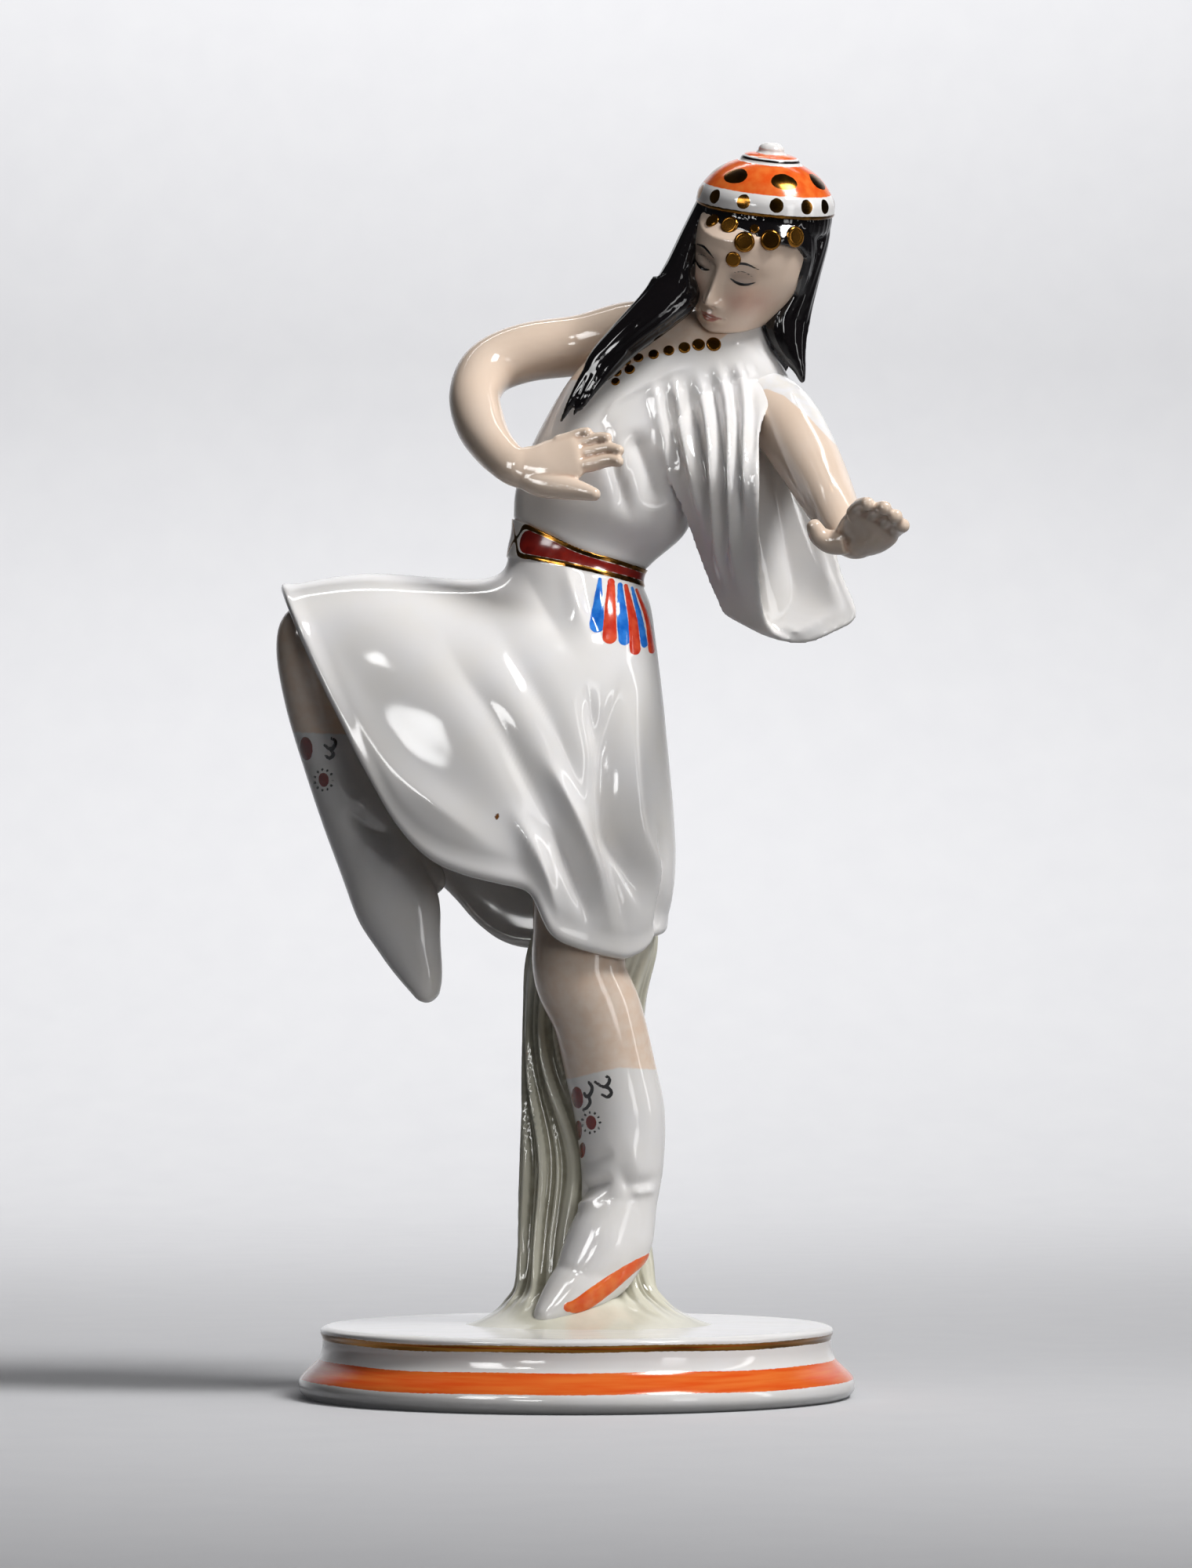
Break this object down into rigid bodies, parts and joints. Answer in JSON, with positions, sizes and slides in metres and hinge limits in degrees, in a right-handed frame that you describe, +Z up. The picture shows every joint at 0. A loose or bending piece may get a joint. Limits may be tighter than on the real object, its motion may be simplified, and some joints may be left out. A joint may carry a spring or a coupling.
{
  "type": "figurine",
  "caption": "Glazed porcelain figurine of a dancer in a dress and cap, one knee raised, on a round plinth with a stump behind the standing leg; stands as an ornament.",
  "frame": {"origin": "centre of the round plinth's flat underside, the face that the figurine stands on", "axes": "+Z up through the plinth; +X to the right and +Y away for someone who stands in front of the dancer"},
  "size_m": [0.1254, 0.1324, 0.2553],
  "materials": {
    "glazed_porcelain": "white porcelain under a clear gloss glaze, painted in red, orange, blue, black and gold over it"
  },
  "bodies": {
    "root": {"dancer_figurine": "glazed_porcelain"}
  },
  "joints": []
}
